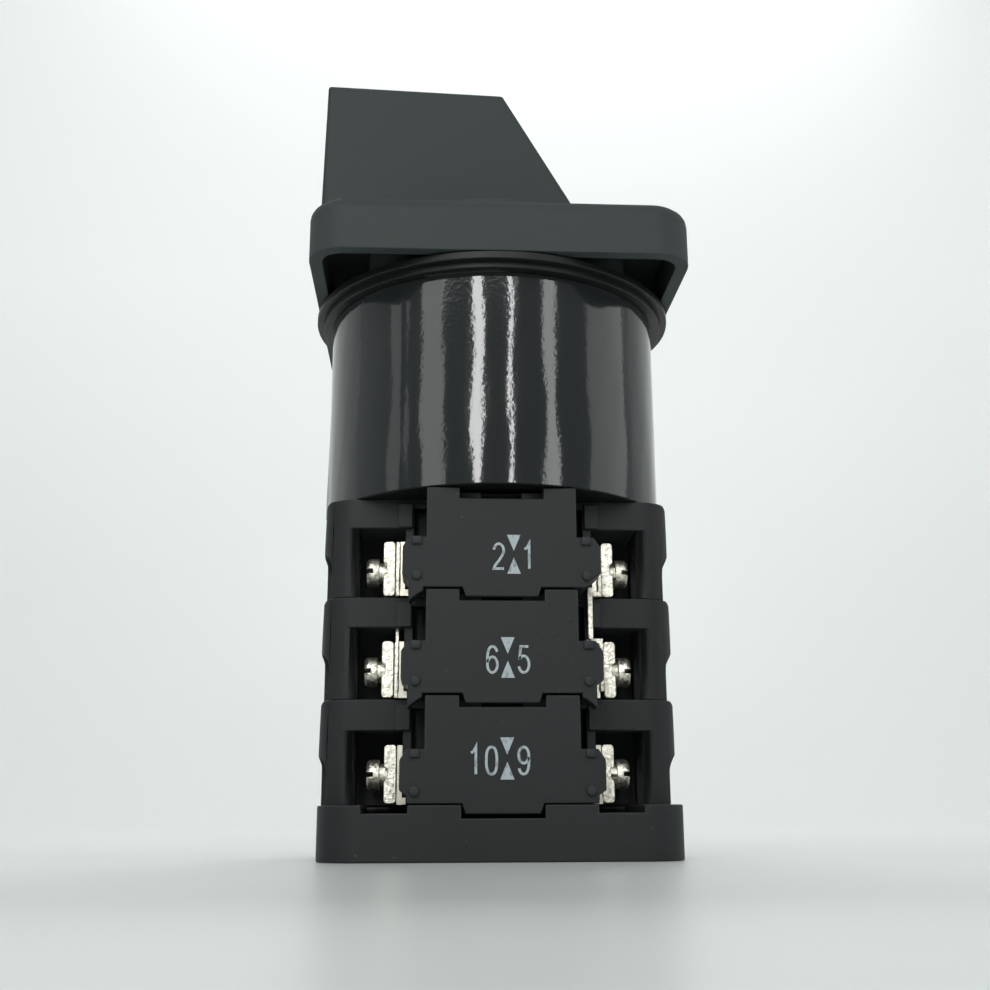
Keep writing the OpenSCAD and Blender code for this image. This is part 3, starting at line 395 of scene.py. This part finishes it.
# Label: a glossy black film rolled once round the barrel. Its outer end laps over
# the inner one, the lap shows as a faint seam, and the outer end lifts a little.
film = bpy.data.materials.new("label_film")
film.use_nodes = True
nodes, links = film.node_tree.nodes, film.node_tree.links
shader = nodes["Principled BSDF"]
shader.inputs["Base Color"].default_value = (0.028, 0.032, 0.033, 1)
shader.inputs["Roughness"].default_value = 0.085
place = nodes.new("ShaderNodeTexCoord")
drawn = nodes.new("ShaderNodeMapping")
drawn.inputs["Scale"].default_value = (1, 1, 0.3)
ripple = nodes.new("ShaderNodeTexNoise")
ripple.inputs["Scale"].default_value = 600
ripple.inputs["Detail"].default_value = 2
peel = nodes.new("ShaderNodeTexNoise")
peel.inputs["Scale"].default_value = 1900
peel.inputs["Detail"].default_value = 1
waves = nodes.new("ShaderNodeBump")
waves.inputs["Strength"].default_value = 0.5
waves.inputs["Distance"].default_value = 0.00002
relief = nodes.new("ShaderNodeBump")
relief.inputs["Strength"].default_value = 0.5
relief.inputs["Distance"].default_value = 0.000018
links.new(place.outputs["Object"], drawn.inputs["Vector"])
links.new(drawn.outputs[0], ripple.inputs["Vector"])
links.new(place.outputs["Object"], peel.inputs["Vector"])
links.new(ripple.outputs["Fac"], waves.inputs["Height"])
links.new(peel.outputs["Fac"], relief.inputs["Height"])
links.new(waves.outputs[0], relief.inputs["Normal"])
links.new(relief.outputs[0], shader.inputs["Normal"])
label_low, label_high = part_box("label_sleeve")
film_t = 0.1 * MM
film_r = label_high.x - film_t / 2
outer_end, lap_start, lap_step_run = (math.radians(a) for a in (-84, -33.6, 0.9))
dive_lead, dive_run, dive_share = math.radians(14), math.radians(12), 0.6
lift_run, lift_most = math.radians(7), 0.2 * MM
ripple_room, slack_at_foot = 0.025 * MM, 1.6
loose_at_foot, loose_fade = 1.25, 2.2
ripple_table = ((0.006, 23, 260), (0.0035, 41, -420), (0.008, 9, 210))
cells_round, cells_up = 420, 40
bpy.ops.object.select_all(action="DESELECT")
bpy.ops.mesh.primitive_grid_add(x_subdivisions=cells_round, y_subdivisions=cells_up, size=1)
label = bpy.context.object
label.name = "wrapped_label"
for v in label.data.vertices:
    along, height = v.co.x + 0.5, v.co.y + 0.5
    a = outer_end + along * (math.tau + lap_start - outer_end)
    z = label_low.z + height * (label_high.z - label_low.z)
    sunk = min(max((a - lap_start) / lap_step_run, 0), 1) * film_t / 2
    sunk += min(max((a - math.tau - outer_end + dive_lead) / dive_run, 0), 1) * film_t * dive_share
    slack = slack_at_foot - height
    wave = slack * sum(size * math.sin(turns * a + lean * z) for size, turns, lean in ripple_table) * MM
    loose = min(max(loose_at_foot - loose_fade * height, 0), 1)
    lift = max((outer_end + lift_run - a) / lift_run, 0) ** 2 * lift_most * loose
    r = film_r - sunk - ripple_room + wave + lift
    v.co = (r * math.sin(a), -r * math.cos(a), z)
only(label)
wall = label.modifiers.new("wall", "SOLIDIFY")
wall.thickness, wall.offset = film_t, 0
bpy.ops.object.modifier_apply(modifier=wall.name)
bpy.ops.object.shade_smooth_by_angle(angle=smooth_angle)
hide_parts("label_sleeve")
fit_out(label, film)

# Bezel and knob: dark grey-green plastic with an eroded satin grain. The bezel is
# a shell with spacer posts, and the knob a hollow wedge on a round skirt.
front_plastic = moulded("front_plastic", (0.0425, 0.0545, 0.054), (0.05, 0.062, 0.0615),
                        roughness=0.6, grain=2600, depth=0.000016, gloss=0.28)
bezel_round, knob_round, rim_band, skirt_band = (v * MM for v in (0.15, 0.35, 0.1, 1.5))
bezel_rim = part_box("bezel")[1].z - rim_band
fit_out(eased_copy("bezel", "bezel_shell", bezel_round, below=bezel_rim), front_plastic)
knob_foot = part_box("knob")[0].z + skirt_band
piece = eased_copy("knob", "knob_wedge", knob_round, above=knob_foot)
fit_out(piece, front_plastic, "rotor")

# Terminal numbers and the paired contact marks: pale pad printing on the panels,
# as thin strokes of even width, a little worn. The rear panels carry the next numbers.
ink = bpy.data.materials.new("print_ink")
ink.use_nodes = True
nodes, links = ink.node_tree.nodes, ink.node_tree.links
shader = nodes["Principled BSDF"]
shader.inputs["Roughness"].default_value = 0.6
place = nodes.new("ShaderNodeTexCoord")
thin = nodes.new("ShaderNodeTexNoise")
thin.inputs["Scale"].default_value = 1700
thin.inputs["Detail"].default_value = 4
tint = nodes.new("ShaderNodeValToRGB")
tint.color_ramp.elements[0].position, tint.color_ramp.elements[0].color = 0.34, (0.32, 0.36, 0.38, 1)
tint.color_ramp.elements[1].position, tint.color_ramp.elements[1].color = 0.47, (0.56, 0.64, 0.68, 1)
links.new(place.outputs["Object"], thin.inputs["Vector"])
links.new(thin.outputs["Fac"], tint.inputs[0])
links.new(tint.outputs[0], shader.inputs["Base Color"])


arc_step, least_steps = 15, 3


def bow(x, z, rx, rz, start, end, square=1.0):
    """Points of an arc in shares of a figure's width and height, angles in degrees."""
    count = max(least_steps, round(abs(end - start) / arc_step))
    points = []
    for k in range(count + 1):
        a = math.radians(start + (end - start) * k / count)
        c, s = math.cos(a), math.sin(a)
        points.append((x + rx * math.copysign(abs(c) ** square, c),
                       z + rz * math.copysign(abs(s) ** square, s)))
    return points


figure_strokes = {
    "0": [bow(0.5, 0.5, 0.5, 0.5, 0, 360, 0.8)],
    "1": [[(0, 0.78), (0.45, 0.84), (0.85, 1), (0.85, 0)]],
    "2": [bow(0.5, 0.72, 0.48, 0.28, 172, -12)
          + [(0.86, 0.54), (0.5, 0.32), (0.12, 0.12), (0.02, 0), (1, 0)]],
    "3": [bow(0.48, 0.755, 0.45, 0.245, 165, -90), bow(0.48, 0.265, 0.5, 0.265, 80, -168)],
    "4": [[(0.74, 0), (0.74, 1), (0, 0.26), (1, 0.26)]],
    "5": [[(0.93, 1), (0.19, 1), (0.08, 0.5)], bow(0.48, 0.32, 0.5, 0.32, 143, -165)],
    "6": [bow(0.5, 0.3, 0.48, 0.3, 0, 360), bow(0.52, 0.5, 0.5, 0.5, 32, 190, 0.85)],
    "7": [[(0, 1), (1, 1), (0.62, 0.55), (0.4, 0)]],
    "8": [bow(0.5, 0.77, 0.42, 0.23, 0, 360), bow(0.5, 0.27, 0.5, 0.27, 0, 360)],
    "9": [bow(0.5, 0.7, 0.48, 0.3, 0, 360), bow(0.48, 0.5, 0.5, 0.5, -148, 10, 0.85)],
}
figure_w, figure_h, stroke_w, figure_gap, ink_t = 1.5 * MM, 3.3 * MM, 0.3 * MM, 0.78 * MM, 0.02 * MM
one_w_share = 0.62
mark_half, mark_gap_left, mark_gap_right = 0.8 * MM, 1.03 * MM, 1.12 * MM
mark_top, mark_upper_tip, mark_lower_tip, mark_bottom = (v * MM for v in (4.22, 2.3, 1.52, -0.45))
panel_face = 20.7 * MM


def width_of(figure):
    return figure_w * (one_w_share if figure == "1" else 1)


def print_panel(name, low, middle, left, right, half_turn):
    corners, edges = [], []
    x = middle - mark_gap_left - sum(width_of(f) + figure_gap for f in left) + figure_gap
    for figure in left + " " + right:
        if figure == " ":
            x = middle + mark_gap_right
            continue
        for line in figure_strokes[figure]:
            first = len(corners)
            for u, v in line:
                corners.append((x + stroke_w / 2 + u * (width_of(figure) - stroke_w), 0,
                                low + stroke_w / 2 + v * (figure_h - stroke_w)))
            edges += [(k, k + 1) for k in range(first, len(corners) - 1)]
        x += width_of(figure) + figure_gap
    line_mesh = bpy.data.meshes.new(name)
    line_mesh.from_pydata(corners, edges, [])
    printed = bpy.data.objects.new(name, line_mesh)
    bpy.context.scene.collection.objects.link(printed)
    only(printed)
    bpy.ops.object.mode_set(mode="EDIT")
    bpy.ops.mesh.select_all(action="SELECT")
    bpy.ops.mesh.remove_doubles(threshold=same_spot)
    bpy.ops.mesh.extrude_edges_move(TRANSFORM_OT_translate={"value": (0, -ink_t, 0)})
    bpy.ops.object.mode_set(mode="OBJECT")
    stroke = printed.modifiers.new("stroke", "SOLIDIFY")
    stroke.thickness, stroke.offset, stroke.use_even_offset = stroke_w, 0, True
    bpy.ops.object.modifier_apply(modifier=stroke.name)
    arrow_mesh = bpy.data.meshes.new("marks")
    arrow_mesh.from_pydata(
        [(middle - mark_half, 0, low + mark_top), (middle, 0, low + mark_upper_tip),
         (middle + mark_half, 0, low + mark_top), (middle - mark_half, 0, low + mark_bottom),
         (middle + mark_half, 0, low + mark_bottom), (middle, 0, low + mark_lower_tip)],
        [], [(0, 1, 2), (3, 4, 5)])
    arrows = bpy.data.objects.new("marks", arrow_mesh)
    bpy.context.scene.collection.objects.link(arrows)
    only(arrows)
    wall = arrows.modifiers.new("wall", "SOLIDIFY")
    wall.thickness, wall.offset = ink_t, 1
    bpy.ops.object.modifier_apply(modifier=wall.name)
    printed.select_set(True)
    bpy.context.view_layer.objects.active = printed
    bpy.ops.object.join()
    printed.data.transform(Matrix.Translation((0, -panel_face, 0)))
    if half_turn:
        printed.data.transform(Matrix.Rotation(math.pi, 4, "Z"))
    fit_out(printed, ink)


# stage, figures' foot, marks' middle, front figures, back figures
panel_table = ((1, 32.9, 1.4, ("2", "1"), ("4", "3")),
               (2, 20.75, 0.6, ("6", "5"), ("8", "7")),
               (3, 9.35, 0.47, ("10", "9"), ("12", "11")))
for stage, low, middle, front, back in panel_table:
    print_panel(f"panel_print_{stage}_front", low * MM, middle * MM, *front, False)
    print_panel(f"panel_print_{stage}_back", low * MM, middle * MM, *back, True)


# Inner pieces, seen only through gaps or with the switch apart: plated contacts, copper
# bridges, natural white cams and plungers, drawn springs and zinc plated steel. The
# legend plate in the bezel's front is brushed aluminium with rolled edges.
def plain(name, colour, roughness, metallic, grain, stretch=(1, 1, 1)):
    material = bpy.data.materials.new(name)
    material.use_nodes = True
    nodes, links = material.node_tree.nodes, material.node_tree.links
    shader = nodes["Principled BSDF"]
    shader.inputs["Metallic"].default_value = metallic
    shader.inputs["Roughness"].default_value = roughness
    place = nodes.new("ShaderNodeTexCoord")
    mottle = nodes.new("ShaderNodeTexNoise")
    mottle.inputs["Scale"].default_value = grain
    drawn = nodes.new("ShaderNodeMapping")
    drawn.inputs["Scale"].default_value = stretch
    tint = nodes.new("ShaderNodeValToRGB")
    tint.color_ramp.elements[0].color = (*(c * 0.75 for c in colour), 1)
    tint.color_ramp.elements[1].color = (*(min(c * 1.15, 1) for c in colour), 1)
    links.new(place.outputs["Object"], drawn.inputs["Vector"])
    links.new(drawn.outputs[0], mottle.inputs["Vector"])
    links.new(mottle.outputs["Fac"], tint.inputs[0])
    links.new(tint.outputs[0], shader.inputs["Base Color"])
    return material


inner_finish = {
    "contact_brass": plain("contact_brass", (0.76, 0.74, 0.63), 0.32, 1, 1500),
    "contact_copper": plain("contact_copper", (0.75, 0.45, 0.3), 0.32, 1, 900),
    "white_plastic": plain("white_plastic", (0.72, 0.69, 0.6), 0.45, 0, 600),
    "spring_steel": plain("spring_steel", (0.5, 0.5, 0.5), 0.3, 1, 2000),
    "zinc_steel": plain("zinc_steel", (0.64, 0.65, 0.62), 0.36, 1, 700),
    "legend_metal": plain("legend_metal", (0.62, 0.63, 0.64), 0.34, 1, 200, (1, 30, 30)),
    "barrel_plastic": barrel_plastic,
}
legend_round = 0.2 * MM
piece = eased_copy("legend_plate", "legend_face", legend_round)
fit_out(piece, inner_finish["legend_metal"])
slots = {s["node"]: s["material_slot"] for s in frame["record"]["subparts"]}
for node, piece in frame["nodes"].items():
    if not piece.hide_render and slots[node] in inner_finish:
        piece.data.materials.clear()
        piece.data.materials.append(inner_finish[slots[node]])
